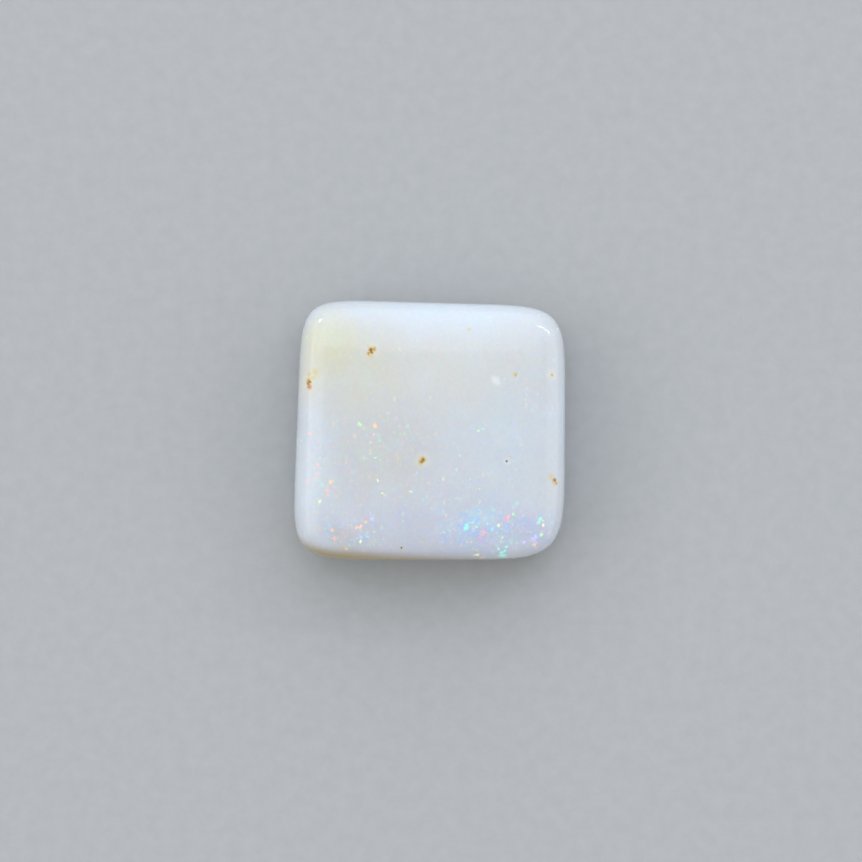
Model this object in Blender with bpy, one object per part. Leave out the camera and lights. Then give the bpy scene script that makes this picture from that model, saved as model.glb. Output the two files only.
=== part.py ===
"""A polished cushion of white opal, lying on its flat back with the domed face up.

Metres, +Z up. The origin is the middle of the flat back's box. The far side (+Y) is the one that
stood uppermost when the stone was photographed on edge, and +X is its right side.
"""

import math

import bmesh
import bpy
import numpy as np

MM = 0.001

# The girdle is the widest outline: a square with slightly full sides and soft corners
HALF_WIDTH = 6.93 * MM
HALF_LENGTH = 6.65 * MM
NEAR_FLARE = 0.114 * MM  # each side stands this much further out at the near edge than halfway
LEFT_FLARE = 0.097 * MM  # the same for the far and near edges at the left side
LEAN = 0.149 * MM  # the far edge sits this far to the right of halfway
SLOPE = 0.094 * MM  # the right side sits this far nearer than halfway
SQUARENESS = 6.84  # 2 would be an ellipse, and a large number a sharp square
LEFT_SQUARER = 0.61  # the left corners are this much squarer
FAR_SQUARER = 0.70  # and the far ones this much
MIDDLE_SQUARENESS = 2.6  # level rings grow rounder from the girdle to the middle of the face

# The profile runs from the edge of the flat back, round the girdle, to the middle of the face
GIRDLE_HEIGHT = 1.9 * MM
CROWN_HEIGHT = 2.7 * MM  # the face's middle above the girdle
CROWN_SQUARENESS = 4.5  # how flat the face is before it rolls off at the shoulder
BACK_DEPTH = 2.15 * MM  # how far the back would bulge below the girdle if it weren't ground flat
BACK_SQUARENESS = 5.0
BACK_EDGE = 0.13 * MM  # the worn edge of the flat back
WEDGE = 0.012  # the left side is this share thicker than the middle, and the right side thinner
SHOULDER_CHANGE = 0.12  # one shoulder is this share rounder than the mean, the opposite one tighter
ROUNDEST_SHOULDER = math.radians(140)  # where that is, from +X: at the far left corner

# The mesh: strips round the stone, and rings from back to face
STRIPS = 128
RINGS = 38
BEND_LENGTH = 2.5 * MM  # a radian of bend earns as many faces as this length does
DENSE = 4001  # points along a curve while its spacing is worked out

OPAL_COLOUR = (0.61, 0.67, 0.72)  # milky bluish white, in linear light
OPAL_IOR = 1.45
POLISHED = 0.1


def squared_circle(angle, squareness):
    """A point of the unit superellipse |a|^n + |b|^n = 1, in the direction of the angle."""
    a, b = np.cos(angle), np.sin(angle)
    reach = (np.abs(a) ** squareness + np.abs(b) ** squareness) ** (-1 / squareness)
    return a * reach, b * reach


def outline(turn, share):
    """A level ring of the stone, at an angle round it and drawn in to a share of the girdle.

    It is a superellipse whose sides flare and lean a little, and it grows rounder further in.
    """
    squareness = SQUARENESS - LEFT_SQUARER * np.cos(turn) + FAR_SQUARER * np.sin(turn)
    squareness = MIDDLE_SQUARENESS + (squareness - MIDDLE_SQUARENESS) * share**2
    right, far = squared_circle(turn, squareness)
    x = right * (HALF_WIDTH - NEAR_FLARE * far) + LEAN * far
    y = far * (HALF_LENGTH - LEFT_FLARE * right) - SLOPE * right
    return x * share, y * share


def profile(climb):
    """The share of the girdle's reach, and the height, at an angle seen from the girdle's middle.

    Above the girdle and below it the curve is a quarter of a superellipse.
    """
    crown_share, crown_rise = squared_circle(climb, CROWN_SQUARENESS)
    back_share, back_drop = squared_circle(climb, BACK_SQUARENESS)
    above = climb > 0
    share = np.where(above, crown_share, back_share)
    rise = np.where(above, CROWN_HEIGHT * crown_rise, BACK_DEPTH * back_drop)
    return np.abs(share), GIRDLE_HEIGHT + rise


def even_steps(points):
    """How far along a dense run of points each one is, from 0 to 1, by its length and its bend."""
    legs = np.diff(points, axis=0)
    heading = np.unwrap(np.arctan2(legs[:, 1], legs[:, 0]))
    effort = np.hypot(legs[:, 0], legs[:, 1]) + BEND_LENGTH * np.abs(np.gradient(heading))
    along = np.concatenate([[0], np.cumsum(effort)])
    return along / along[-1]


def ring_climbs():
    """The angles of the rings, from the flat back's edge up to the middle of the face."""
    climbs = np.linspace(-math.pi / 2, math.pi / 2, DENSE)
    flat_back = np.interp(0, profile(climbs)[1], climbs)
    climbs = np.linspace(flat_back, math.pi / 2, DENSE)
    share, height = profile(climbs)
    steps = even_steps(np.stack([share * HALF_WIDTH, height], axis=-1))
    return np.interp(np.linspace(0, 1, RINGS), steps, climbs)


def strip_turns():
    """The angles of the strips round the stone, closer together at its corners."""
    turns = np.linspace(0, 2 * math.pi, DENSE)
    steps = even_steps(np.stack(outline(turns, share=1), axis=-1))
    return np.interp(np.arange(STRIPS) / STRIPS, steps, turns)


def stone_points(turn, climb):
    """Points of the surface: the level ring of the profile's share, at the profile's height."""
    share, height = profile(climb)
    share = share ** (1 + SHOULDER_CHANGE * np.cos(turn - ROUNDEST_SHOULDER))
    x, y = outline(turn, share)
    return np.stack([x, y, height * (1 - WEDGE * x / HALF_WIDTH)], axis=-1)


def shape_ball(ball):
    """Move each point of a ball of strips and rings to where the stone has that strip and ring."""
    places = np.array([point.co for point in ball.verts])
    round_ball = np.arctan2(places[:, 1], places[:, 0]) / (2 * math.pi) % 1
    up_ball = np.arcsin(np.clip(places[:, 2], -1, 1)) / math.pi + 0.5
    strip = np.rint(round_ball * STRIPS).astype(int) % STRIPS
    ring = np.rint(up_ball * RINGS).astype(int) - 1
    stone = stone_points(strip_turns()[strip], ring_climbs()[ring])
    stone[:, :2] -= (stone[:, :2].min(axis=0) + stone[:, :2].max(axis=0)) / 2
    for point, place in zip(ball.verts, stone):
        point.co = place


def opal_mesh():
    """A ball whose lowest point is left off, shaped like the stone and closed with its flat back."""
    ball = bmesh.new()
    bmesh.ops.create_uvsphere(ball, u_segments=STRIPS, v_segments=RINGS, radius=1)
    lowest = min(ball.verts, key=lambda point: point.co.z)
    bmesh.ops.delete(ball, geom=[lowest], context="VERTS")
    shape_ball(ball)

    rim = [edge for edge in ball.edges if edge.is_boundary]
    bmesh.ops.contextual_create(ball, geom=rim)
    bmesh.ops.bevel(ball, geom=rim, offset=BACK_EDGE, segments=2, profile=0.5, affect="EDGES")
    bmesh.ops.recalc_face_normals(ball, faces=ball.faces)

    mesh = bpy.data.meshes.new("opal")
    ball.to_mesh(mesh)
    ball.free()
    mesh.shade_smooth()
    return mesh


def opal_material():
    """White opal: a milky body under a glassy polish."""
    material = bpy.data.materials.new("white_opal")
    material.use_nodes = True
    shader = material.node_tree.nodes["Principled BSDF"]
    shader.inputs["Base Color"].default_value = (*OPAL_COLOUR, 1)
    shader.inputs["Roughness"].default_value = POLISHED
    shader.inputs["IOR"].default_value = OPAL_IOR
    return material


def main():
    for thing in list(bpy.data.objects):
        bpy.data.objects.remove(thing)
    parts = bpy.data.collections.new("opal_cabochon")
    bpy.context.scene.collection.children.link(parts)
    stone = bpy.data.objects.new("opal", opal_mesh())
    stone.data.materials.append(opal_material())
    parts.objects.link(stone)


main()
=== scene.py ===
# %% [markdown]
# A white opal, cut and polished as a cushion cabochon: a rounded square with a low domed face and
# a flat back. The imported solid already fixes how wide, long and thick it is, so the first step
# loads that solid as the frame and measures it. Everything after this gives the same stone its
# finer surface, the colours inside it, and soft light to see them by.

# %% Load the frame and measure it
import math

import bpy
import numpy as np
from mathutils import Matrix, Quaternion, Vector


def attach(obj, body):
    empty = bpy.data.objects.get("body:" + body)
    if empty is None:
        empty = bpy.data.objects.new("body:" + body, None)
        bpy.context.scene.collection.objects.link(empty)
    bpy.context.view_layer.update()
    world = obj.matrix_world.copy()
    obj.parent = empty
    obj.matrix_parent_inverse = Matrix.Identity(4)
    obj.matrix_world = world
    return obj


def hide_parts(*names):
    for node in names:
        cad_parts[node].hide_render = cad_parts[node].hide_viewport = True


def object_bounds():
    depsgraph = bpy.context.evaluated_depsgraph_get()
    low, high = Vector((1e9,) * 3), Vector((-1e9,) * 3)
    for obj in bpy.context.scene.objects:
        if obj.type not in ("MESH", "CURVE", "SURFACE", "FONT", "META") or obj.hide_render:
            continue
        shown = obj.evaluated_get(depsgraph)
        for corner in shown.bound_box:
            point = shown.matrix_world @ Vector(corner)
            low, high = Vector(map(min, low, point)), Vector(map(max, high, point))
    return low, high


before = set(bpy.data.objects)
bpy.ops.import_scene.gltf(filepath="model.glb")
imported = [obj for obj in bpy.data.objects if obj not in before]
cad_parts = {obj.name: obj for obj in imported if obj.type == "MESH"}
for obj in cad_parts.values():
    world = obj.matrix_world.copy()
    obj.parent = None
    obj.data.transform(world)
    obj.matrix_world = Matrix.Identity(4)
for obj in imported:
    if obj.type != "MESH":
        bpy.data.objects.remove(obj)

box_low, box_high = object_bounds()
box_size = np.array(box_high) - np.array(box_low)
box_middle = (np.array(box_high) + np.array(box_low)) / 2

STONE_WIDTH_MM = 14.0
MM = box_size[0] / STONE_WIDTH_MM
print("the frame's stone in mm:", np.round(box_size / MM, 2))

# %% [markdown]
# The stone is one smooth skin. A cube with a Bevel and a Subdivision Surface would come near it,
# but its uneven corners would be hard to steer. So it is worked out as a surface of two parameters:
# how far round the stone a point is, and how far up. Seen from above it is a superellipse, the curve
# |x|^n + |y|^n = 1, which is an ellipse at n = 2 and closes on a square as n grows. A hand-cut
# stone is never quite even, so the sides flare and lean by a tenth of a millimetre, and the
# corners differ. Level rings nearer the middle of the face are rounder than the outline.

# %% The outline of the stone
HALF_WIDTH = 6.93  # every size of the stone from here on is in millimetres
HALF_LENGTH = 6.65
NEAR_FLARE = 0.114  # the near edge is wider, and the far one narrower
LEFT_FLARE = 0.097  # the left side is longer, and the right one shorter
LEAN = 0.149  # the far edge sits this much to the right, the near one to the left
SLOPE = 0.094  # the right side sits this much nearer, the left one farther
SQUARENESS = 6.84  # the n of the outline
LEFT_SQUARER = 0.61
FAR_SQUARER = 0.70
MIDDLE_SQUARENESS = 2.6  # the n that the rings come down to at the middle of the face


def squared_circle(angle, squareness):
    """The point of |a|^n + |b|^n = 1 that lies in the direction of the angle."""
    a, b = np.cos(angle), np.sin(angle)
    reach = (np.abs(a) ** squareness + np.abs(b) ** squareness) ** (-1 / squareness)
    return a * reach, b * reach


def level_ring(turn, share):
    """The ring at a share of the girdle's reach: a superellipse, flared by f*y and leaning by l*y.

    Its n eases from the middle's to the outline's with the square of the share.
    """
    squareness = SQUARENESS - LEFT_SQUARER * np.cos(turn) + FAR_SQUARER * np.sin(turn)
    squareness = MIDDLE_SQUARENESS + (squareness - MIDDLE_SQUARENESS) * share**2
    right, far = squared_circle(turn, squareness)
    x = right * (HALF_WIDTH - NEAR_FLARE * far) + LEAN * far
    y = far * (HALF_LENGTH - LEFT_FLARE * right) - SLOPE * right
    return x * share, y * share


girdle_x, girdle_y = level_ring(np.linspace(0, 2 * np.pi, 720), 1.0)
print("girdle in mm:", round(np.ptp(girdle_x), 2), "by", round(np.ptp(girdle_y), 2))

# %% [markdown]
# From the side the stone is two quarter superellipses that meet at the girdle, the widest level:
# the polished crown above, nearly flat and then rolling off at the shoulder, and the back below,
# which was ground off flat. A lapidary breaks the sharp edge of that flat so it won't chip. The
# back could be cut off with a Boolean and its edge bevelled, but a soft maximum,
# w * ln(1 + e^(h/w)), holds the curve at height zero and rounds the edge in one formula.

# %% The profile of the stone
GIRDLE_HEIGHT = 1.9
CROWN_HEIGHT = 2.7
CROWN_SQUARENESS = 4.5
BACK_DEPTH = 2.15  # more than the girdle's height, so the curve meets the flat at a slant
BACK_SQUARENESS = 5.0
BROKEN_EDGE = 0.035  # the w of the soft maximum
WEDGE = 0.012  # the right side is thinner by this share, and the left one thicker
SHOULDER_CHANGE = 0.12
ROUNDEST_SHOULDER = math.radians(140)  # measured round from +X


def profile(climb):
    """Share of the girdle's reach, and height, at an angle from the back (-90) to the top (90)."""
    crown_share, crown_rise = squared_circle(climb, CROWN_SQUARENESS)
    back_share, back_drop = squared_circle(climb, BACK_SQUARENESS)
    share = np.abs(np.where(climb > 0, crown_share, back_share))
    height = GIRDLE_HEIGHT + np.where(climb > 0, CROWN_HEIGHT * crown_rise, BACK_DEPTH * back_drop)
    return share, BROKEN_EDGE * np.logaddexp(0, height / BROKEN_EDGE)


def opal_surface(turn, climb):
    """Points of the skin: the level ring of the profile's share at the profile's height, in mm.

    The share is raised to a power a little over 1 at the roundest shoulder and under 1 across
    from it, and the height is multiplied by 1 - wedge * x / half width.
    """
    share, height = profile(climb)
    share = share ** (1 + SHOULDER_CHANGE * np.cos(turn - ROUNDEST_SHOULDER))
    x, y = level_ring(turn, share)
    return np.stack([x, y, height * (1 - WEDGE * x / HALF_WIDTH)], axis=-1)


for degrees in (0, 30, 60):
    shoulder = np.round(opal_surface(0.0, np.radians(degrees)), 2)
    print("right shoulder at", degrees, "degrees:", shoulder, "mm")

# %% [markdown]
# A grid of equal angles would waste its points on the flat face and starve the shoulders, where the
# reflections run. So the rows and columns are spread evenly along the curve, with extra ones where
# it bends: measure = length + k * bend, summed along a dense run of points and then read backwards.

# %% Spread the grid lines by length and bend
STRIPS = 448
RINGS = 200
BEND_LENGTH = 2.0  # a radian of bend gets as many grid lines as this many millimetres
DENSE = 6001  # points in the dense run


def spread(parameter, x, y, count):
    """Values of the parameter that cut the curve (x, y) into equal steps of length and bend."""
    step_x, step_y = np.diff(x), np.diff(y)
    bend = np.abs(np.gradient(np.unwrap(np.arctan2(step_y, step_x))))
    measure = np.concatenate([[0], np.cumsum(np.hypot(step_x, step_y) + BEND_LENGTH * bend)])
    return np.interp(np.linspace(0, measure[-1], count), measure, parameter)


dense_turns = np.linspace(0, 2 * np.pi, DENSE)
dense_climbs = np.linspace(-np.pi / 2, np.pi / 2, DENSE)
dense_share, dense_height = profile(dense_climbs)
turns = spread(dense_turns, *level_ring(dense_turns, 1.0), STRIPS + 1)[:-1]
climbs = spread(dense_climbs, dense_share * HALF_WIDTH, dense_height, RINGS + 1)[1:-1]
print(STRIPS, "strips and", RINGS, "rings")

# %% [markdown]
# The grid becomes a mesh: a row of points for each ring, quads between neighbouring rings, and one
# point at each pole with a fan of triangles, so the skin is closed. The points are then fitted to
# the frame's own box, which keeps the fine skin exactly as large as the solid it stands for.

# %% Build the stone's skin
ring_points = opal_surface(turns[None, :], climbs[:, None]).reshape(-1, 3)
pole_points = opal_surface(np.zeros(2), np.array([-np.pi / 2, np.pi / 2]))
points = np.concatenate([ring_points, pole_points])
low, high = points.min(axis=0), points.max(axis=0)
points = (points - (low + high) / 2) * (box_size / (high - low)) + box_middle

rows = len(climbs)
corner = np.arange(rows * STRIPS).reshape(rows, STRIPS)
beside = np.roll(corner, -1, axis=1)
quads = np.stack([corner[:-1], beside[:-1], beside[1:], corner[1:]], axis=-1).reshape(-1, 4)
under_fan = np.stack([np.full(STRIPS, rows * STRIPS), beside[0], corner[0]], axis=-1)
top_fan = np.stack([np.full(STRIPS, rows * STRIPS + 1), corner[-1], beside[-1]], axis=-1)

skin = bpy.data.meshes.new("opal_skin")
skin.from_pydata(points.tolist(), [], quads.tolist() + under_fan.tolist() + top_fan.tolist())
skin.shade_smooth()
opal = bpy.data.objects.new("opal_stone", skin)
bpy.context.collection.objects.link(opal)
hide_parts("opal")
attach(opal, "root")
print("the skin has", len(skin.polygons), "faces")

# %% [markdown]
# A few helpers for the materials. Colours are picked as sRGB hex values, and shaders work in linear
# light, so one function converts them. Every node is added by one function that sets its options
# and then sets or links its inputs. The same tree could be wired by hand in the shader editor, but
# written like this a long tree stays readable as a list of steps.

# %% Colour and node helpers
def linear(hex_colour):
    """An sRGB hex colour as linear red, green, blue and full alpha."""
    parts = [int(hex_colour[i : i + 2], 16) / 255 for i in (1, 3, 5)]
    return (*[p / 12.92 if p <= 0.04045 else ((p + 0.055) / 1.055) ** 2.4 for p in parts], 1.0)


def add(tree, kind, inputs, stops=(), **options):
    """Add a node, set its options and colour stops, then set each input or link it to a socket.

    An input goes by its name, or by its number where a node has more than one of that name. A Mix
    node of colours takes its share at 0 and its colours at 6 and 7, and gives the result at 2.
    """
    node = tree.nodes.new(kind)
    for name, value in options.items():
        setattr(node, name, value)
    for index, (position, colour) in enumerate(stops):
        ramp = node.color_ramp.elements
        stop = ramp[index] if index < 2 else ramp.new(position)
        stop.position = position
        stop.color = linear(colour)
    for key, value in inputs.items():
        if isinstance(value, bpy.types.NodeSocket):
            tree.links.new(value, node.inputs[key])
        else:
            node.inputs[key].default_value = value
    return node


def new_material(name):
    """A node material with only its shader, and the tree to add nodes to."""
    material = bpy.data.materials.new(name)
    material.use_nodes = True
    return material, material.node_tree, material.node_tree.nodes["Principled BSDF"]


print("sRGB grey #808080 is", round(linear("#808080")[0], 3), "in linear light")

# %% [markdown]
# Precious white opal is silica spheres packed in water-bearing glass. A plain white coat of colour
# would look like porcelain. The stone is milky because it scatters light inside, so the material is a
# subsurface one: light enters, wanders a fraction of a millimetre and comes out soft, which gives
# the eye depth without a clear sight of anything. All its patterns are read from the object's own
# coordinates, turned from metres to millimetres, so a fleck that is 0.2 mm wide is written as 0.2.

# %% Start the opal material
opal_material, opal_tree, opal_shader = new_material("precious_white_opal_polished")
opal.data.materials.append(opal_material)
coordinates = add(opal_tree, "ShaderNodeTexCoord", {})
place = add(opal_tree, "ShaderNodeVectorMath", {0: coordinates.outputs["Object"], "Scale": 1 / MM},
            operation="SCALE").outputs["Vector"]

UPPER_PART = 1.5  # colour is placed on the skin above this height
crown = points[points[:, 2] > UPPER_PART * MM] / MM


def on_face(x, y):
    """The point of the skin that is straight above (x, y), in millimetres."""
    nearest = np.argmin(np.hypot(crown[:, 0] - x, crown[:, 1] - y))
    return tuple(crown[nearest])


print("the middle of the face is", round(on_face(0, 0)[2], 2), "mm high")

# %% [markdown]
# Nothing inside the stone has a clean edge. Blurring the patterns would only make them weak, so
# most are read at places that a noise has pushed about. A slow push bends the wide zones by some
# tenths of a millimetre. A quick one frays the flecks, and frays them most along y, because the
# spheres settled in thin upright columns.

# %% Places pushed about by noise
ZONE_DRIFT = (1.6, 1.6, 0.6)
FLECK_FRAY = (0.14, 0.32, 0.14)
NOISE_SWING = 0.15  # a noise mostly stays this close to its middle, 0.5


def pushed(noise_scale, stretch, detail, push):
    """The place plus (noise - 0.5) * push, with the noise read at place * stretch * scale."""
    stretched = add(opal_tree, "ShaderNodeVectorMath", {0: place, 1: stretch}, operation="MULTIPLY")
    noise = add(opal_tree, "ShaderNodeTexNoise",
                {"Vector": stretched.outputs["Vector"], "Scale": noise_scale, "Detail": detail})
    centred = add(opal_tree, "ShaderNodeVectorMath",
                  {0: noise.outputs["Color"], 1: (0.5, 0.5, 0.5)}, operation="SUBTRACT")
    moved = add(opal_tree, "ShaderNodeVectorMath",
                {0: centred.outputs["Vector"], 1: push, 2: place}, operation="MULTIPLY_ADD")
    return moved.outputs["Vector"]


drifted = pushed(noise_scale=0.35, stretch=(1, 1, 1), detail=3.0, push=ZONE_DRIFT)
frayed = pushed(noise_scale=8.0, stretch=(1, 0.5, 1), detail=1.0, push=FLECK_FRAY)
print("zones drift by about", round(NOISE_SWING * ZONE_DRIFT[0], 2), "mm")
print("flecks fray by about", round(NOISE_SWING * FLECK_FRAY[1], 2), "mm")

# %% [markdown]
# The milk isn't one white. Where the silica is tighter it looks bluish, a little iron makes it lemon
# and where the stone is clearer it looks greyer. Such zones could be painted on a picture, but they
# go right through the stone, so each is a soft ball laid into it: a Mapping node turned to Texture
# moves and scales it to a unit ball, the length from its middle is measured, and a smooth ramp
# fades it out.

# %% The milky body and its zones
BODY_MILK = "#cdd2d9"
ZONES = (
    # colour, strength, x, y, reach x, reach y, turn in degrees
    ("#d6d8d5", 0.90, 0.5, 3.4, 9.0, 4.6, 0),  # neutral white over the far half
    ("#d3e1ef", 0.88, 1.5, 6.3, 10.0, 2.8, 0),  # pale blue along the far edge, partly painted sheen of the far light
    ("#dcdcb4", 0.92, -5.2, 4.3, 2.5, 2.4, 20),  # lemon patch at the far left
    ("#d3d3c4", 0.85, -3.9, 3.0, 4.2, 3.6, 0),  # its faint warm skirt
    ("#dcd6bc", 0.60, -6.2, 2.2, 1.6, 1.4, 0),  # straw tinge by the left edge
    ("#cacac7", 0.90, -2.5, -1.2, 4.1, 3.4, 10),  # clearer grey left of the middle
    ("#c5c9d8", 0.80, 0.0, -5.4, 9.0, 3.4, 0),  # lavender along the near edge, partly painted shade of that edge
    ("#bbcbe6", 0.75, 3.4, -4.9, 3.4, 2.0, 8),  # blue haze in the near right corner
    ("#bac3e2", 0.65, 5.4, -5.2, 1.9, 1.6, 0),  # violet haze beside it
    ("#bfe8ee", 0.40, 2.3, -4.7, 1.4, 0.9, 10),  # cyan haze in its middle
    ("#d1dde4", 0.60, -5.9, -2.2, 1.6, 4.4, 0),  # pale blue down the left side, partly painted light from the left
    ("#c6daea", 0.75, 7.0, 0.8, 1.9, 6.8, 0),  # pale blue down the right side
    ("#cad8e2", 0.50, 3.8, -0.5, 3.6, 5.0, 0),  # and a breath of it right of the middle
    ("#bdb8ad", 0.50, -4.0, -5.7, 1.9, 1.0, -35),  # darker brownish patch by the near left corner
)
ZONE_DEPTH = 3.4  # how far up and down a zone reaches


def soft_zone(where, x, y, reach, turn, strength):
    """The strength in the middle of an ellipsoid, falling smoothly to 0 at its reach."""
    unit = add(opal_tree, "ShaderNodeMapping",
               {"Vector": where, "Location": on_face(x, y), "Rotation": (0, 0, math.radians(turn)),
                "Scale": reach}, vector_type="TEXTURE")
    away = add(opal_tree, "ShaderNodeVectorMath", {0: unit.outputs["Vector"]}, operation="LENGTH")
    fade = add(opal_tree, "ShaderNodeMapRange",
               {"Value": away.outputs["Value"], "From Min": 1.0, "From Max": 0.0, "To Max": strength},
               interpolation_type="SMOOTHSTEP")
    return fade.outputs["Result"]


body = linear(BODY_MILK)
for colour, strength, x, y, reach_x, reach_y, turn in ZONES:
    share = soft_zone(drifted, x, y, (reach_x, reach_y, ZONE_DEPTH), turn, strength)
    body = add(opal_tree, "ShaderNodeMix", {0: share, 6: body, 7: linear(colour)},
               data_type="RGBA").outputs[2]
print(len(ZONES), "zones over the milk")

# %% [markdown]
# Looked at closely the milk is mottled: clouds a millimetre or two across, and under them a faint
# grain of tinted cells, each a patch of silica spheres too weak to flash. One noise could make both,
# but clouds have no cells and the grain has, so the clouds are fractal noise and the grain is a
# Voronoi pattern whose random cell colours are laid over at a few per cent.

# %% Clouds and grain in the milk
CLOUD_SIZE = 1.6
CLOUD_SWING = (0.35, 0.65)  # nearly all of the noise lies between these
CLOUD_TINTS = ("#c6c8c8", "#d3e0ea")
CLOUD_SHARE = 0.22
GRAIN_SIZE = 0.13
GRAIN_SHARE = 0.04

clouds = add(opal_tree, "ShaderNodeTexNoise",
             {"Vector": place, "Scale": 1 / CLOUD_SIZE, "Detail": 4.0, "Roughness": 0.55})
cloud_share = add(opal_tree, "ShaderNodeMapRange",
                  {"Value": clouds.outputs[0], "From Min": CLOUD_SWING[0], "From Max": CLOUD_SWING[1],
                   "To Max": CLOUD_SHARE})
cloud_tint = add(opal_tree, "ShaderNodeValToRGB", {"Fac": clouds.outputs[0]},
                 stops=zip(CLOUD_SWING, CLOUD_TINTS))
body = add(opal_tree, "ShaderNodeMix",
           {0: cloud_share.outputs["Result"], 6: body, 7: cloud_tint.outputs["Color"]},
           data_type="RGBA").outputs[2]

grain = add(opal_tree, "ShaderNodeTexVoronoi", {"Vector": place, "Scale": 1 / GRAIN_SIZE},
            feature="SMOOTH_F1")
body = add(opal_tree, "ShaderNodeMix", {0: GRAIN_SHARE, 6: body, 7: grain.outputs["Color"]},
           data_type="RGBA").outputs[2]
print("grain cells of", GRAIN_SIZE, "mm under clouds of", CLOUD_SIZE, "mm")

# %% [markdown]
# Pinfire is the play of colour in pinhead dots. Each dot is one grain of spheres whose spacing
# returns a single colour. A Voronoi pattern gives such grains: each cell has a random colour of its
# own, so one channel decides whether the cell flashes, one picks its hue and one how strongly. How
# many cells flash is set by where they are, since this stone has bright clusters and quiet ground.
# The walls were cut through the colour too, and show a few dots all round.

# %% How crowded the pinfire is
CLUSTERS = (
    # crowding, x, y, reach x, reach y
    (0.75, 3.6, -5.2, 4.0, 1.8),  # near right corner, the liveliest
    (0.40, -3.6, -5.3, 2.4, 1.7),  # near left
    (0.13, -5.2, -3.0, 2.4, 4.4),  # up the left side
    (0.09, -2.4, -1.0, 4.2, 3.8),  # left of the middle
    (0.07, 5.0, 2.0, 2.2, 3.0),  # a quiet few at the right
    (0.055, 2.5, -1.5, 4.0, 3.6),  # right of the middle
    (0.08, 0.0, -3.6, 7.0, 2.8),  # near half
)
QUIET_CROWDING = 0.007
WALL_CROWDING = 0.10
WALL_HEIGHTS = (3.4, 2.4)  # the face turns into wall between these heights
OPAL_HUES = {
    "blue": "#9ccdff", "mint": "#86ffe2", "green": "#aef7a2", "yellow": "#f4f29c",
    "orange": "#ffc489", "rose": "#ffac99", "violet": "#c9b8ff", "cyan": "#97e2ff",
}

height = add(opal_tree, "ShaderNodeSeparateXYZ", {0: place}).outputs["Z"]
crowding = add(opal_tree, "ShaderNodeMapRange",
               {"Value": height, "From Min": WALL_HEIGHTS[0], "From Max": WALL_HEIGHTS[1],
                "To Min": QUIET_CROWDING, "To Max": WALL_CROWDING}).outputs["Result"]
for strength, x, y, reach_x, reach_y in CLUSTERS:
    cluster = soft_zone(drifted, x, y, (reach_x, reach_y, ZONE_DEPTH), 0, strength)
    crowding = add(opal_tree, "ShaderNodeMath", {0: cluster, 1: crowding}, operation="ADD").outputs[0]
print(len(CLUSTERS), "clusters and", len(OPAL_HUES), "hues")

# %% [markdown]
# Between the dots a cluster is hazy with colour, where many small grains agree on a hue without one
# of them standing out. A plain tint would look flat, so it is a coarser Voronoi pattern whose cells
# melt into each other.
#
# From here on each flash of colour goes into two sums: the body, which is lit like the milk, and a
# faint painted glow: emission that makes the flashes look brighter than milk could be, even on the
# shaded side, though the stone gives off no light.

# %% Coloured haze in the clusters
HAZE_SIZE = 0.40
HAZE_STOPS = ((0.30, "#a9c4f6"), (0.45, "#a9d8e6"), (0.58, "#cdb6f0"), (0.72, "#e4c3d6"))
HAZE_SWING = (0.35, 0.80)  # patches whose random number is below the first don't show
NO_PAINTED_GLOW = linear("#000000")

haze = add(opal_tree, "ShaderNodeTexVoronoi", {"Vector": frayed, "Scale": 1 / HAZE_SIZE},
           feature="SMOOTH_F1")
haze_random = add(opal_tree, "ShaderNodeSeparateColor", {0: haze.outputs["Color"]})
haze_hue = add(opal_tree, "ShaderNodeValToRGB", {"Fac": haze_random.outputs[0]}, stops=HAZE_STOPS)
haze_shown = add(opal_tree, "ShaderNodeMapRange",
                 {"Value": haze_random.outputs[1], "From Min": HAZE_SWING[0],
                  "From Max": HAZE_SWING[1], "To Max": crowding}, interpolation_type="SMOOTHSTEP")
body = add(opal_tree, "ShaderNodeMix",
           {0: haze_shown.outputs["Result"], 6: body, 7: haze_hue.outputs["Color"]},
           data_type="RGBA").outputs[2]
# the painted glow of the flashes, an emission, starts black
painted_glow = NO_PAINTED_GLOW
print("haze patches of", HAZE_SIZE, "mm")

# %% [markdown]
# Three sizes of grain are laid over the milk: a dust of tiny faint dots, common ones of 0.2 mm, and
# larger ones that are rare and weak. Thousands of little meshes could do this, but they would sit on
# the stone instead of in it. Here the distance to a cell's own point, faded out before the cell's
# edge, makes a soft dot. A cell's random blue sets how strong the dot is and how wide.

# %% Lay the pinfire over the milk
def lay_flash(body, painted_glow, hue, share):
    """The hue laid over the body by the share, and added to the painted glow by as much."""
    lit = add(opal_tree, "ShaderNodeMix", {0: share, 6: body, 7: hue}, data_type="RGBA")
    painted_glow_sum = add(opal_tree, "ShaderNodeMix", {0: share, 6: painted_glow, 7: hue}, data_type="RGBA",
                 blend_type="ADD")
    return lit.outputs[2], painted_glow_sum.outputs[2]


PINFIRE = (
    # cell size, chance to flash where the crowding is 1, weakest, strongest
    (0.10, 3.2, 0.03, 0.18),
    (0.17, 1.3, 0.04, 0.28),
    (0.32, 0.6, 0.03, 0.17),
)
DOT_REACH = (0.40, 0.62)  # of a cell's size, for the weakest dots and the strongest
DOT_CORE = 0.05
HUE_STOPS = [(index / len(OPAL_HUES), colour) for index, colour in enumerate(OPAL_HUES.values())]

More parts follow.
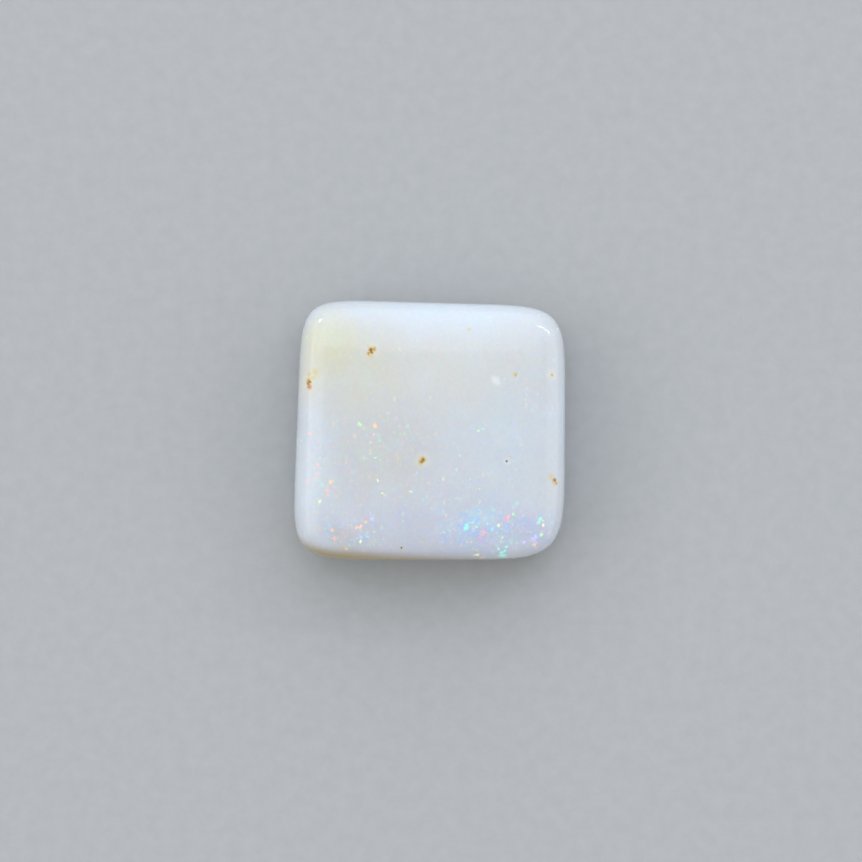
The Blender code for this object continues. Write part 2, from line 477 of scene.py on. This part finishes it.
for cell_size, chance, weakest, strongest in PINFIRE:
    cells = add(opal_tree, "ShaderNodeTexVoronoi", {"Vector": frayed, "Scale": 1 / cell_size})
    random = add(opal_tree, "ShaderNodeSeparateColor", {0: cells.outputs["Color"]})
    chance_here = add(opal_tree, "ShaderNodeMath", {0: crowding, 1: chance}, operation="MULTIPLY")
    flashing = add(opal_tree, "ShaderNodeMath",
                   {0: random.outputs[0], 1: chance_here.outputs[0]}, operation="LESS_THAN")
    power = add(opal_tree, "ShaderNodeMapRange",
                {"Value": random.outputs[2], "To Min": weakest, "To Max": strongest})
    edge = add(opal_tree, "ShaderNodeMapRange",
               {"Value": random.outputs[2], "To Min": DOT_REACH[0], "To Max": DOT_REACH[1]})
    dot = add(opal_tree, "ShaderNodeMapRange",
              {"Value": cells.outputs["Distance"], "From Min": edge.outputs["Result"],
               "From Max": DOT_CORE, "To Max": power.outputs["Result"]}, interpolation_type="SMOOTHSTEP")
    share = add(opal_tree, "ShaderNodeMath",
                {0: dot.outputs["Result"], 1: flashing.outputs[0]}, operation="MULTIPLY")
    hue = add(opal_tree, "ShaderNodeValToRGB", {"Fac": random.outputs[1]}, stops=HUE_STOPS)
    hue.color_ramp.interpolation = "CONSTANT"
    body, painted_glow = lay_flash(body, painted_glow, hue.outputs["Color"], share.outputs[0])
print("pinfire of", [cell_size for cell_size, *rest in PINFIRE], "mm laid over the milk")

# %% [markdown]
# The flashes that make this one stone itself are listed one by one, each by its place on the face and
# its radius in millimetres, and grouped by hue. A random pattern could never put them where they are.
# The first lot lies deep, is veiled by milk and comes out faint.

# %% Flecks deep in the milk
DEEP_FLECKS = {
    # hue: (x, y, radius) of each fleck
    "mint": (
        (2.54, -4.78, 0.16), (1.01, -5.14, 0.17), (2.23, -5.08, 0.22), (4.21, -4.71, 0.16),
        (-5.23, -5.32, 0.15), (1.15, -4.81, 0.18), (4.29, -3.97, 0.20), (4.41, -3.75, 0.22),
        (-5.14, -4.85, 0.20), (-5.34, -5.06, 0.17), (-4.69, -5.50, 0.14), (-2.64, -0.24, 0.22),
        (-2.57, -0.50, 0.20), (-1.57, 0.20, 0.13), (-1.82, -0.05, 0.15), (-1.07, 0.17, 0.18),
        (2.69, 0.09, 0.18), (4.62, -0.76, 0.14), (5.00, 2.18, 0.14), (4.49, -5.73, 0.16),
        (3.29, -6.20, 0.20), (-2.92, -5.71, 0.19), (-3.87, -5.67, 0.16), (-4.18, -5.91, 0.22),
        (5.55, 1.82, 0.15), (-0.13, -3.45, 0.15), (-5.54, -2.80, 0.23), (2.98, 5.80, 0.18),
        (3.15, 5.64, 0.15), (6.39, 3.59, 0.16), (5.59, 5.92, 0.18), (0.69, -4.17, 0.14),
    ),
    "green": (
        (-3.32, 0.07, 0.15), (-1.49, -0.18, 0.15), (-1.32, -0.14, 0.14), (-3.21, -5.25, 0.15),
        (-2.44, -5.02, 0.16), (6.28, -4.76, 0.19), (5.23, 1.05, 0.19), (-2.55, -1.51, 0.15),
        (-3.40, -1.44, 0.19), (2.51, -4.26, 0.19), (1.98, -4.66, 0.12), (3.54, -4.95, 0.13),
        (2.73, -5.26, 0.18), (-2.14, -1.54, 0.14),
    ),
    "yellow": (
        (-4.96, -5.20, 0.14), (-1.34, -4.26, 0.15), (2.74, -6.52, 0.28), (-3.04, -0.62, 0.15),
        (-3.69, -5.49, 0.12), (-3.07, -1.05, 0.14), (-3.08, -1.24, 0.14), (-1.77, 1.60, 0.17),
        (0.04, 1.62, 0.14), (0.77, -3.71, 0.15), (4.92, 1.52, 0.13), (-2.18, 0.90, 0.17),
        (-3.84, -0.27, 0.20), (0.67, -5.19, 0.14), (0.05, -4.00, 0.15), (-2.24, -3.26, 0.15),
        (3.79, 2.59, 0.12),
    ),
    "orange": (
        (4.72, -5.09, 0.13), (4.58, -4.45, 0.13), (2.63, -4.28, 0.16), (3.65, -4.68, 0.14),
        (-2.74, 0.41, 0.12), (-4.92, -0.81, 0.14), (-3.85, -5.81, 0.14), (2.20, -6.35, 0.12),
        (-3.41, -3.52, 0.15), (-1.24, -0.46, 0.12), (-4.96, -4.19, 0.16), (-2.83, -5.58, 0.15),
        (-3.12, -2.41, 0.20), (-4.98, -2.89, 0.16), (-4.81, -2.95, 0.12), (-4.90, 0.30, 0.14),
        (-0.04, -2.73, 0.16), (4.21, -2.85, 0.12), (-1.61, -1.39, 0.16), (4.74, -4.18, 0.15),
        (-3.50, -4.66, 0.14),
    ),
    "rose": (
        (-5.22, -2.94, 0.13), (1.19, -5.74, 0.16), (-5.66, -1.50, 0.15), (3.80, -4.33, 0.12),
        (5.00, 2.06, 0.16), (-4.75, -3.37, 0.22), (-5.90, -1.78, 0.12), (-6.18, -5.38, 0.14),
        (-5.42, 0.61, 0.14), (-3.93, -4.94, 0.15), (4.39, -4.36, 0.14), (-5.67, -4.92, 0.17),
        (-5.93, -5.02, 0.14), (3.51, -6.46, 0.19), (2.16, 1.10, 0.14), (3.02, -5.30, 0.13),
        (3.49, -0.50, 0.18), (4.72, -0.66, 0.14), (-5.86, -2.52, 0.15), (-1.20, -3.88, 0.14),
        (-3.15, -3.17, 0.15), (-4.27, 0.64, 0.18), (4.15, -4.92, 0.18), (2.57, -5.45, 0.13),
        (-3.18, 1.59, 0.12),
    ),
    "blue": (
        (-0.79, -3.00, 0.20), (0.55, -3.36, 0.20), (2.95, -4.82, 0.17), (-3.81, -4.60, 0.17),
        (-2.24, -1.68, 0.19), (3.20, -5.00, 0.26), (2.87, -4.51, 0.26), (-3.07, -5.96, 0.19),
        (-3.33, -6.16, 0.22), (1.92, -5.75, 0.16), (6.22, 0.87, 0.19), (5.86, 0.78, 0.18),
        (-3.86, -2.14, 0.24), (-4.62, -1.28, 0.16), (0.71, -5.72, 0.24), (-2.99, -4.33, 0.16),
    ),
    "violet": (
        (-1.66, 0.58, 0.24), (-1.01, 0.80, 0.16), (-2.26, -5.09, 0.17), (-3.62, -5.28, 0.18),
        (1.02, -5.33, 0.20), (2.79, -0.62, 0.20), (4.33, 0.38, 0.17), (-3.21, -5.86, 0.17),
        (5.46, 1.16, 0.16), (-6.01, -0.71, 0.22), (-5.82, -0.99, 0.20), (3.25, -5.70, 0.24),
        (-3.02, -4.56, 0.14), (6.14, -0.50, 0.20), (-2.60, -2.99, 0.16),
    ),
}
print(sum(len(spots) for spots in DEEP_FLECKS.values()), "deep flecks")

# %% [markdown]
# The second lot reaches the surface, so nothing veils it. These are the flashes that catch the eye:
# the mint and yellow ones by the near edge, the violet and mint ones in the near right corner, and
# a few single ones over the left half.

# %% Flecks at the surface
SURFACE_FLECKS = {
    # hue: (x, y, radius) of each fleck
    "mint": (
        (1.93, -4.89, 0.17), (1.83, -5.04, 0.18), (1.91, -4.98, 0.15), (3.77, -6.43, 0.36),
        (3.76, -6.26, 0.18), (3.69, -6.33, 0.16), (3.88, -5.96, 0.15), (3.51, -6.11, 0.13),
        (3.51, -5.98, 0.10), (5.66, -4.56, 0.18), (5.60, -4.72, 0.18), (3.83, -6.19, 0.13),
        (2.15, -4.66, 0.12), (2.43, -4.94, 0.11), (2.95, -4.81, 0.11),
    ),
    "green": (
        (-3.59, 0.30, 0.21), (5.79, -4.67, 0.14), (-2.74, -1.37, 0.12), (2.49, -0.02, 0.12),
        (3.73, -5.47, 0.15), (4.28, -4.30, 0.16), (5.71, -5.39, 0.17), (-6.79, -0.40, 0.16),
        (-6.80, -0.60, 0.17), (-6.80, -0.81, 0.15), (6.58, 5.22, 0.15),
    ),
    "yellow": (
        (2.49, -6.38, 0.18), (2.36, -6.41, 0.14), (3.52, -4.83, 0.14), (-5.64, -3.62, 0.15),
        (-2.41, -3.23, 0.13), (-0.99, -3.14, 0.13), (-2.69, -2.59, 0.13), (-3.57, -5.70, 0.13),
        (5.82, -4.83, 0.12), (-6.50, -6.00, 0.12),
    ),
    "orange": (
        (2.68, -6.54, 0.17), (-2.76, 0.21, 0.17), (-3.75, -5.01, 0.15), (-3.51, -4.95, 0.17),
        (-3.25, -4.69, 0.14), (-4.26, -6.10, 0.17), (5.42, -5.85, 0.14), (-4.98, -5.15, 0.13),
        (-5.07, -2.65, 0.15), (-2.85, -0.14, 0.13), (5.86, -4.96, 0.11),
    ),
    "rose": (
        (4.06, -4.47, 0.14), (-5.24, -3.07, 0.14), (-5.76, -2.19, 0.14), (-5.71, -1.73, 0.12),
        (5.40, -5.98, 0.16), (-4.89, -5.52, 0.16), (-5.23, -3.31, 0.14), (-6.28, -2.59, 0.14),
        (-6.11, -0.23, 0.13), (-5.11, -5.16, 0.11),
    ),
    "blue": (
        (-2.93, -4.54, 0.16), (-3.52, -5.48, 0.17), (-3.17, -5.47, 0.17), (2.35, -4.63, 0.14),
    ),
    "violet": (
        (5.37, -5.60, 0.20), (5.48, -5.47, 0.16), (5.27, -5.52, 0.15), (4.84, -5.73, 0.17),
    ),
}
print(sum(len(spots) for spots in SURFACE_FLECKS.values()), "surface flecks")

# %% [markdown]
# For each group the tree measures the distance to every fleck in that fleck's own radius and keeps
# the smallest, so a whole group costs one ramp and one mix, where a mix for each fleck would make the
# shader slow. A real fleck is a handful of facets, each a little brighter or fainter, so a fine
# Voronoi pattern varies its strength.

# %% Lay the flecks into the stone
DEEP_POWER = 0.18
SURFACE_POWER = 0.82
FACET_SIZE = 0.08
FACET_POWERS = (0.45, 1.25)
FRAYED_RIM = 0.85  # fraying widens a fleck, so its rim is drawn in
FAR_AWAY = 9.0  # in radii


def spots_mask(where, spots, power, rim=1.0):
    """The power at the middle of any of the spots, falling smoothly to 0 at its radius * rim."""
    nearest = FAR_AWAY
    for x, y, radius in spots:
        away = add(opal_tree, "ShaderNodeVectorMath", {0: where, 1: on_face(x, y)},
                   operation="DISTANCE")
        in_radii = add(opal_tree, "ShaderNodeMath", {0: away.outputs["Value"], 1: radius},
                       operation="DIVIDE")
        nearest = add(opal_tree, "ShaderNodeMath", {0: in_radii.outputs[0], 1: nearest},
                      operation="MINIMUM").outputs[0]
    mask = add(opal_tree, "ShaderNodeMapRange",
               {"Value": nearest, "From Min": rim, "From Max": 0.0, "To Max": power},
               interpolation_type="SMOOTHSTEP")
    return mask.outputs["Result"]


facets = add(opal_tree, "ShaderNodeTexVoronoi", {"Vector": place, "Scale": 1 / FACET_SIZE})
facet_random = add(opal_tree, "ShaderNodeSeparateColor", {0: facets.outputs["Color"]})
facet_power = add(opal_tree, "ShaderNodeMapRange",
                  {"Value": facet_random.outputs[0], "To Min": FACET_POWERS[0],
                   "To Max": FACET_POWERS[1]}, clamp=False)
for flecks, power in ((DEEP_FLECKS, DEEP_POWER), (SURFACE_FLECKS, SURFACE_POWER)):
    for hue, spots in flecks.items():
        mask = spots_mask(frayed, spots, power, rim=FRAYED_RIM)
        mask = add(opal_tree, "ShaderNodeMath", {0: mask, 1: facet_power.outputs["Result"]},
                   operation="MULTIPLY", use_clamp=True).outputs[0]
        body, painted_glow = lay_flash(body, painted_glow, linear(OPAL_HUES[hue]), mask)
    print(len(flecks), "groups of flecks laid in at a power of", power)

# %% [markdown]
# The brown specks are grains of iron oxide from the host rock, each in a faint stain of its own.
# Modelled as grains they would stand out from the polish, and real ones are cut flush with it, so
# they are colour in the same material. They are laid on from the widest and palest to the smallest
# and darkest: a bleached ring, straw stain, gold and red rust, then the dark core. They hide the
# painted glow beneath them as well as the milk. Two tiny dark points are open pinholes, shallow pits
# whose dark is painted shade.

# %% Iron specks, stains and pinholes
SPECKS = (
    # what it is, colour, power, (x, y, radius) of each spot
    ("bleached ring", "#e4e7e6", 0.45, (
        (-2.97, 4.08, 0.55), (-0.37, -1.55, 0.55), (3.98, -1.58, 0.30), (6.28, 2.83, 0.50),
    )),
    # a soft spot whiter than the milk
    ("soft white spot", "#f1f4f8", 0.50, (
        (3.42, 2.56, 0.34), (3.36, 2.68, 0.26), (3.50, 2.44, 0.24),
    )),
    ("straw stain", "#d8c670", 0.70, (
        (-6.19, 2.85, 0.19), (-6.17, 2.68, 0.15), (-5.83, 3.00, 0.28), (-5.99, 2.72, 0.24),
        (-6.22, 2.48, 0.30), (-3.17, 4.28, 0.15), (-3.01, 3.84, 0.22), (-3.15, 3.96, 0.22),
        (-2.96, 4.09, 0.36), (-0.47, -1.76, 0.22), (-0.37, -1.55, 0.36), (6.19, -2.39, 0.26),
        (6.45, -2.65, 0.30), (2.02, 5.13, 0.16), (4.35, 2.83, 0.20), (6.28, 2.83, 0.21),
        (4.16, -1.36, 0.10), (-0.34, -5.57, 0.12), (-0.24, -5.57, 0.10), (-1.42, -6.06, 0.16),
    )),
    ("gold rust", "#bc8c12", 0.88, (
        (-2.84, 4.19, 0.17), (-2.91, 4.16, 0.15), (-3.15, 3.95, 0.13), (-0.35, -1.51, 0.21),
        (-0.43, -1.64, 0.17), (6.41, -2.56, 0.20), (6.50, -2.70, 0.12), (4.35, 2.82, 0.07),
        (6.28, 2.82, 0.09), (-6.22, 2.46, 0.22), (-6.16, 2.53, 0.15), (-2.99, 4.06, 0.22),
    )),
    ("red rust", "#cc720a", 0.92, (
        (-6.16, 2.22, 0.24), (-3.00, 3.98, 0.12), (6.39, -2.53, 0.10),
    )),
    ("dark core", "#7a5604", 0.92, (
        (-2.99, 4.09, 0.13), (-3.00, 4.03, 0.10), (-6.24, 2.42, 0.13), (-6.17, 2.51, 0.10),
        (-0.32, -1.47, 0.10), (-0.39, -1.58, 0.08), (6.41, -2.58, 0.09),
    )),
)
PINHOLES = ((3.98, -1.58, 0.09), (-1.45, -6.03, 0.08))
# the dark of the pinholes is painted shade in the pits
PINHOLE_PAINTED_SHADE = "#23241f"
SPECK_FRAY = (0.14, 0.14, 0.14)


def cover(body, painted_glow, colour, share):
    """The colour laid over the body by the share, and the painted glow put out by as much."""
    covered = add(opal_tree, "ShaderNodeMix", {0: share, 6: body, 7: colour}, data_type="RGBA")
    dimmed = add(opal_tree, "ShaderNodeMix", {0: share, 6: painted_glow, 7: NO_PAINTED_GLOW}, data_type="RGBA")
    return covered.outputs[2], dimmed.outputs[2]


speck_place = pushed(noise_scale=9.0, stretch=(1, 1, 1), detail=1.0, push=SPECK_FRAY)
for what, colour, power, spots in SPECKS:
    body, painted_glow = cover(body, painted_glow, linear(colour), spots_mask(speck_place, spots, power))
    print(len(spots), "of", what)
pinhole = spots_mask(place, PINHOLES, 1.0)
body = add(opal_tree, "ShaderNodeMix", {0: pinhole, 6: body, 7: linear(PINHOLE_PAINTED_SHADE)},
           data_type="RGBA").outputs[2]

# %% [markdown]
# Under the colour bar lies the potch, plain opal with no play of colour: honey-grey. The seam stood
# steep in the rock, so the potch shows along the near edge of the stone and hardly anywhere else. It
# could be a second solid, but the two grew as one stone with no joint to see, so it is everything
# beyond one tilted plane, tilt . place < top, faded in over a millimetre. Faint layers run along it,
# it pales towards the back, and it hides the painted glow of the colour. Its honey is also partly
# painted shade of the near edge, darkest high on the wall where the rim is seen from above.

# %% The honey potch under the colour, partly painted shade
POTCH_TILT = (0.09, 0.90, 0.41)
POTCH_TOP = -3.93
POTCH_FADE = 1.05
POTCH_SHARE = 0.9
# the honey of the potch; its darker end is partly painted shade of the near edge
POTCH_AND_SHADE_STOPS = ((0.35, "#cabb8a"), (0.95, "#a38734"))
LAYERS_PER_MM = 2.6
LAYER_WEIGHT = 0.6
DARKER_UP = (0.05, 0.0, 0.30)  # how fast the honey and its painted shade deepen along x, y and z

tilted = add(opal_tree, "ShaderNodeVectorMath", {0: place, 1: POTCH_TILT}, operation="DOT_PRODUCT")
potch_and_painted_shade = add(opal_tree, "ShaderNodeMapRange",
            {"Value": tilted.outputs["Value"], "From Min": POTCH_TOP, "From Max": POTCH_TOP - POTCH_FADE,
             "To Max": POTCH_SHARE}, interpolation_type="SMOOTHSTEP").outputs["Result"]
layers = add(opal_tree, "ShaderNodeMath", {0: tilted.outputs["Value"], 1: LAYERS_PER_MM},
             operation="MULTIPLY")
layering = add(opal_tree, "ShaderNodeTexNoise", {"W": layers.outputs[0], "Scale": 1.0, "Detail": 2.0},
               noise_dimensions="1D")
upward = add(opal_tree, "ShaderNodeVectorMath", {0: drifted, 1: DARKER_UP}, operation="DOT_PRODUCT")
honey_and_shade = add(opal_tree, "ShaderNodeMath",
            {0: layering.outputs[0], 1: LAYER_WEIGHT, 2: upward.outputs["Value"]},
            operation="MULTIPLY_ADD")
potch_and_shade_colour = add(opal_tree, "ShaderNodeValToRGB", {"Fac": honey_and_shade.outputs[0]}, stops=POTCH_AND_SHADE_STOPS)
body, painted_glow = cover(body, painted_glow, potch_and_shade_colour.outputs["Color"], potch_and_painted_shade)
print("the potch starts", round(-POTCH_TOP / POTCH_TILT[1], 2), "mm towards the near edge, at the floor")

# %% [markdown]
# A polished stone isn't a perfect mirror. The hand and the wheel leave a faint slow ripple, the
# pinholes are tiny pits, and the ground back was never buffed: close to the floor fine parallel
# scratches take over. All of it is far too shallow to need geometry, so it is three bumps in a row,
# each with its real depth in millimetres.

# %% Ripple, scratches and pits
RIPPLE_SIZE = 2.0
RIPPLE_DEPTH = 0.02
GROUND_HEIGHTS = (0.12, 0.03)  # polish gives way to grinding between these heights
SCRATCH_SCALE = 1.6
SCRATCH_STRETCH = (0.4, 9.0, 1.0)  # long along x, and 0.07 mm apart along y
SCRATCH_DEPTH = 0.03
PIT_DEPTH = 0.06
POLISHED = 0.24  # roughness of the stone under its clear coat
GROUND = 0.5  # and of its ground back

ground = add(opal_tree, "ShaderNodeMapRange",
             {"Value": height, "From Min": GROUND_HEIGHTS[0],
              "From Max": GROUND_HEIGHTS[1]}).outputs["Result"]
roughness = add(opal_tree, "ShaderNodeMapRange",
                {"Value": ground, "To Min": POLISHED, "To Max": GROUND}).outputs["Result"]
ripple = add(opal_tree, "ShaderNodeTexNoise", {"Vector": place, "Scale": 1 / RIPPLE_SIZE, "Detail": 2.0})
along_x = add(opal_tree, "ShaderNodeVectorMath", {0: place, 1: SCRATCH_STRETCH}, operation="MULTIPLY")
scratches = add(opal_tree, "ShaderNodeTexNoise",
                {"Vector": along_x.outputs["Vector"], "Scale": SCRATCH_SCALE, "Detail": 3.0})
scratch_height = add(opal_tree, "ShaderNodeMath", {0: scratches.outputs[0], 1: ground},
                     operation="MULTIPLY")
pit_height = add(opal_tree, "ShaderNodeMath", {0: pinhole, 1: -1.0}, operation="MULTIPLY")
ripple_bump = add(opal_tree, "ShaderNodeBump",
                  {"Height": ripple.outputs[0], "Strength": 1.0, "Distance": RIPPLE_DEPTH * MM})
scratch_bump = add(opal_tree, "ShaderNodeBump",
                   {"Height": scratch_height.outputs[0], "Strength": 0.6,
                    "Distance": SCRATCH_DEPTH * MM, "Normal": ripple_bump.outputs["Normal"]})
pit_bump = add(opal_tree, "ShaderNodeBump",
               {"Height": pit_height.outputs[0], "Strength": 0.8, "Distance": PIT_DEPTH * MM,
                "Normal": scratch_bump.outputs["Normal"]})
print("ripple", RIPPLE_DEPTH, "mm, scratches", SCRATCH_DEPTH, "mm and pits", PIT_DEPTH, "mm deep")

# %% [markdown]
# Opal is a soft glass with an index of refraction of 1.45, buffed until it shines. One glossy layer
# would lay a hard reflection on the milk. On the real stone the sharp reflection of the skin lies
# over a softer light from just under it, so a clear coat, nearly mirror smooth, carries the gloss
# and the base beneath it is rougher and reflects little. The export keeps a coat's roughness only as
# one number, so the ground back differs in its base and its scratches alone.

# %% Polish and the light inside
OPAL_SURFACE = {
    "IOR": 1.45,
    "Coat Weight": 1.0,
    "Coat Roughness": 0.03,
    "Coat IOR": 1.45,
    "Specular IOR Level": 0.2,
    # the emission is the painted glow of the flashes; the stone gives off no light of its own
    "Emission Strength": 0.5,
    "Subsurface Weight": 0.5,
    "Subsurface Radius": (1.0, 0.75, 0.55),  # red light wanders farther than blue
    "Subsurface Scale": 0.8 * MM,
}
opal_tree.links.new(body, opal_shader.inputs["Base Color"])
opal_tree.links.new(roughness, opal_shader.inputs["Roughness"])
opal_tree.links.new(pit_bump.outputs["Normal"], opal_shader.inputs["Normal"])
opal_tree.links.new(painted_glow, opal_shader.inputs["Emission Color"])
for socket, number in OPAL_SURFACE.items():
    opal_shader.inputs[socket].default_value = number
print("the opal material has", len(opal_tree.nodes), "nodes")

# %% [markdown]
# The stone lies face up on a plain pale floor of matt paper. Its fibres scatter the light evenly, so
# the eye sees soft shadows and no reflection, and a faint mottle keeps it from looking empty. It is a
# little darker than the stone, so that a white stone still stands out from it, and one square wide
# enough to fill the view from low down is all the shape it needs.

# %% The floor
FLOOR_REACH = 1.5
FLOOR_GAP = 0.01 * MM
FIBRE_SIZE = 0.7  # in millimetres; real paper fibres are finer than the picture could show
PAPER_STOPS = ((0.3, "#abaeb1"), (0.7, "#b1b4b7"))
PAPER_ROUGHNESS = 0.9

floor_mesh = bpy.data.meshes.new("floor")
floor_corners = [(x * FLOOR_REACH, y * FLOOR_REACH, -FLOOR_GAP)
                 for x, y in ((-1, -1), (1, -1), (1, 1), (-1, 1))]
floor_mesh.from_pydata(floor_corners, [], [(0, 1, 2, 3)])
floor = bpy.data.objects.new("floor", floor_mesh)
bpy.context.collection.objects.link(floor)
floor_material, floor_tree, floor_shader = new_material("matt_pale_paper")
floor_place = add(floor_tree, "ShaderNodeTexCoord", {}).outputs["Object"]
fibres = add(floor_tree, "ShaderNodeTexNoise",
             {"Vector": floor_place, "Scale": 1 / (FIBRE_SIZE * MM), "Detail": 4.0, "Roughness": 0.6})
paper = add(floor_tree, "ShaderNodeValToRGB", {"Fac": fibres.outputs[0]}, stops=PAPER_STOPS)
floor_tree.links.new(paper.outputs["Color"], floor_shader.inputs["Base Color"])
floor_shader.inputs["Roughness"].default_value = PAPER_ROUGHNESS
floor_mesh.materials.append(floor_material)
print("floor", 2 * FLOOR_REACH, "m across")

# %% [markdown]
# The light is a small studio. One bare lamp would give hard shadows and a burnt spot, so most of it
# comes from wide soft boxes: a big one beyond the far edge puts the broad sheen along the far
# shoulder, low ones at the left, the right and the near side light the walls, and one with a grid,
# raised at the left, has its lower edge mirrored as the crisp line down the left shoulder. Two small
# strips make the short bright arc and the spot at the far corners. Each hangs on an arc round the
# stone, named by its direction and how far it leans from straight above, and looks at the stone.

# %% Soft studio light
LAMP_DISTANCE = 0.6
LAMPS = (
    # name, direction, lean, width, height, watts, spread of its grid, roll, raised
    ("far_soft_box", 90, 48, 0.90, 0.90, 1.65, 130, 0, 0.0),
    ("left_gridded_box", 180, 67, 0.80, 0.44, 0.63, 115, 0, 0.22),
    ("left_soft_box", 180, 75, 0.90, 0.50, 0.34, 130, 0, 0.0),
    ("right_soft_box", 0, 80, 1.00, 0.90, 1.52, 130, 0, 0.0),
    ("near_soft_box", -90, 58, 0.90, 0.50, 0.30, 130, 0, 0.0),
    ("corner_strip", 41, 58, 0.27, 0.034, 0.25, 180, 34, 0.0),
    ("left_corner_strip", 136, 62, 0.07, 0.045, 0.12, 180, 0, 0.0),
)


def hang_lamp(name, direction, lean, width, height, watts, spread, roll, raised):
    """An area light that looks at the stone from a direction (degrees from +X), a lean and a roll.

    It is then raised in its own plane, by so many metres.
    """
    round_angle, lean_angle = math.radians(direction), math.radians(lean)
    towards = Vector((math.sin(lean_angle) * math.cos(round_angle),
                      math.sin(lean_angle) * math.sin(round_angle), math.cos(lean_angle)))
    light = bpy.data.lights.new(name, "AREA")
    light.shape = "RECTANGLE"
    light.size, light.size_y = width, height
    light.energy = watts
    light.spread = math.radians(spread)
    lamp = bpy.data.objects.new(name, light)
    lamp.location = towards * LAMP_DISTANCE
    lamp.rotation_mode = "QUATERNION"
    rolled = Quaternion((0, 0, 1), math.radians(roll))
    lamp.rotation_quaternion = towards.to_track_quat("Z", "Y") @ rolled
    lamp.location += lamp.rotation_quaternion @ Vector((0, raised, 0))
    lamp.visible_camera = False
    bpy.context.collection.objects.link(lamp)


for lamp_row in LAMPS:
    hang_lamp(*lamp_row)
print(len(LAMPS), "lamps")

# %% [markdown]
# Lamps alone would leave what they don't reach too dark, and a polished stone mirrors whatever is
# round it. A picture of a room would show in it, so the surround is one pale even tone.

# %% The pale surround
SURROUND = "#dfe3e8"
SURROUND_STRENGTH = 0.588

world = bpy.data.worlds.new("pale_surround")
world.use_nodes = True
bpy.context.scene.world = world
background = world.node_tree.nodes["Background"]
background.inputs["Color"].default_value = linear(SURROUND)
background.inputs["Strength"].default_value = SURROUND_STRENGTH
print("surround", SURROUND, "at", SURROUND_STRENGTH)

# %% [markdown]
# The camera looks straight down on the face, square to it, through a long lens from a quarter of a
# metre, so the stone fills a third of the picture and its sides hardly show. A short lens from close
# by would swell the face. The plain view transform keeps colours as they are worked out above
# instead of bending them towards film.

# %% The camera
VIEW_WIDTH = 44.6 * MM
LENS = 200.0
SENSOR = 36.0
NEAREST_SEEN = 0.01
AIM_RIGHT = 0.067 * MM
AIM_FAR = -0.036 * MM

camera_data = bpy.data.cameras.new("camera")
camera_data.lens = LENS
camera_data.sensor_width = SENSOR
camera_data.clip_start = NEAREST_SEEN
camera_height = VIEW_WIDTH * LENS / camera_data.sensor_width
camera = bpy.data.objects.new("camera", camera_data)
camera.location = (AIM_RIGHT, AIM_FAR, GIRDLE_HEIGHT * MM + camera_height)
bpy.context.collection.objects.link(camera)
bpy.context.scene.camera = camera
bpy.context.scene.view_settings.view_transform = "Standard"
print("camera", round(camera_height, 4), "m above the girdle")
